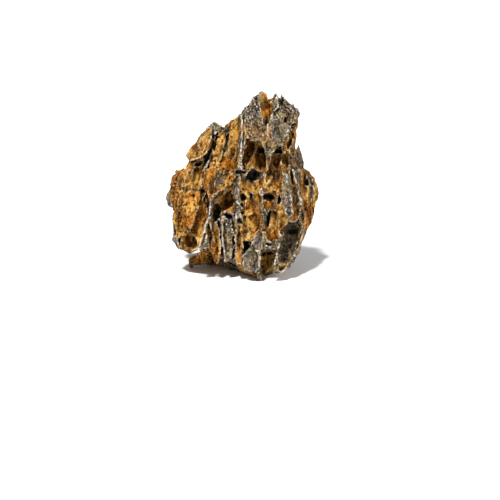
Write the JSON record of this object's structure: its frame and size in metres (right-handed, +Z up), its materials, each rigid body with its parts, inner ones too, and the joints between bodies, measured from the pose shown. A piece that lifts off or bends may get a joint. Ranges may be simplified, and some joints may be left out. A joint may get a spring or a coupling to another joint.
{
  "type": "dragon stone",
  "caption": "Upright weathered clay-stone rock with fluted hollows, pits and sharp pale crests, on a flat foot.",
  "frame": {"origin": "centre of the stone's footprint box, on the ground", "axes": "+Z up, the pitted face towards -Y, +X to the right of that face"},
  "size_m": [0.158, 0.1066, 0.1848],
  "materials": {
    "stone": "rough, dry, ochre hollows and grey crests"
  },
  "bodies": {
    "root": {"dragon_stone": "stone"}
  },
  "joints": []
}
